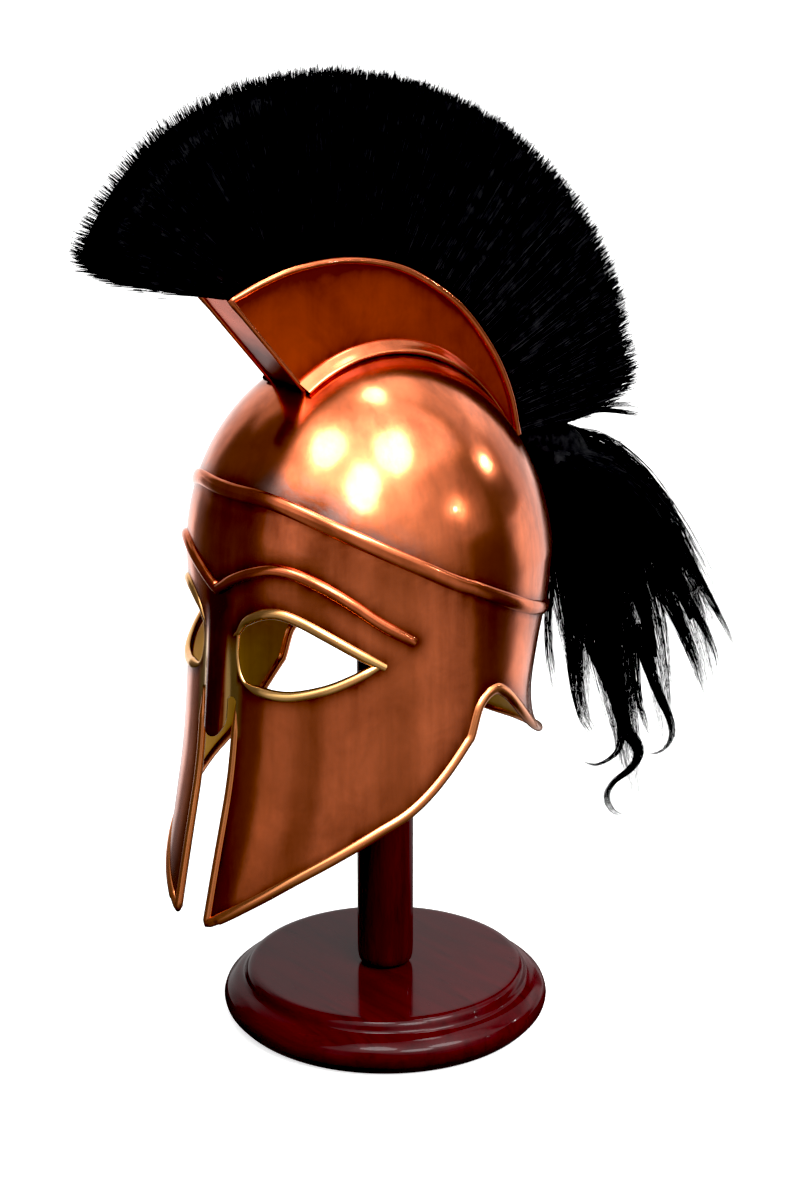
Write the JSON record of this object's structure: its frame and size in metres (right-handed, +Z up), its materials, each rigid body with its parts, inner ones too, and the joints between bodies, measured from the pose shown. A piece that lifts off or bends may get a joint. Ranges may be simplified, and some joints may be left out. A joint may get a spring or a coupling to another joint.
{
  "type": "greek bronze helmet and display stand",
  "caption": "Crested Greek helmet in antiqued bronze with almond eye openings, nasal and long cheek pieces, black hair plume and tail, on a turned dark wood display stand.",
  "frame": {"origin": "middle of the flat underside of the stand's base, on the post's axis", "axes": "+Z up; the helmet faces -Y; +X is the wearer's left"},
  "size_m": [0.222, 0.5385, 0.6457],
  "materials": {
    "bronze": "antiqued copper bronze, polished and lacquered, darker red brown in the recesses",
    "brass_rim": "polished golden brass",
    "hair": "black dyed hair, matte with a faint sheen",
    "lacquered_wood": "dark cherry high gloss lacquer"
  },
  "bodies": {
    "root": {"helmet_shell": "bronze", "eye_rim_left": "brass_rim", "eye_rim_right": "brass_rim", "edge_rim": "brass_rim", "crest_holder": "bronze", "plume_brush": "hair", "plume_tail": "hair", "stand_base": "lacquered_wood", "stand_post": "lacquered_wood", "stand_block": "lacquered_wood"}
  },
  "joints": []
}
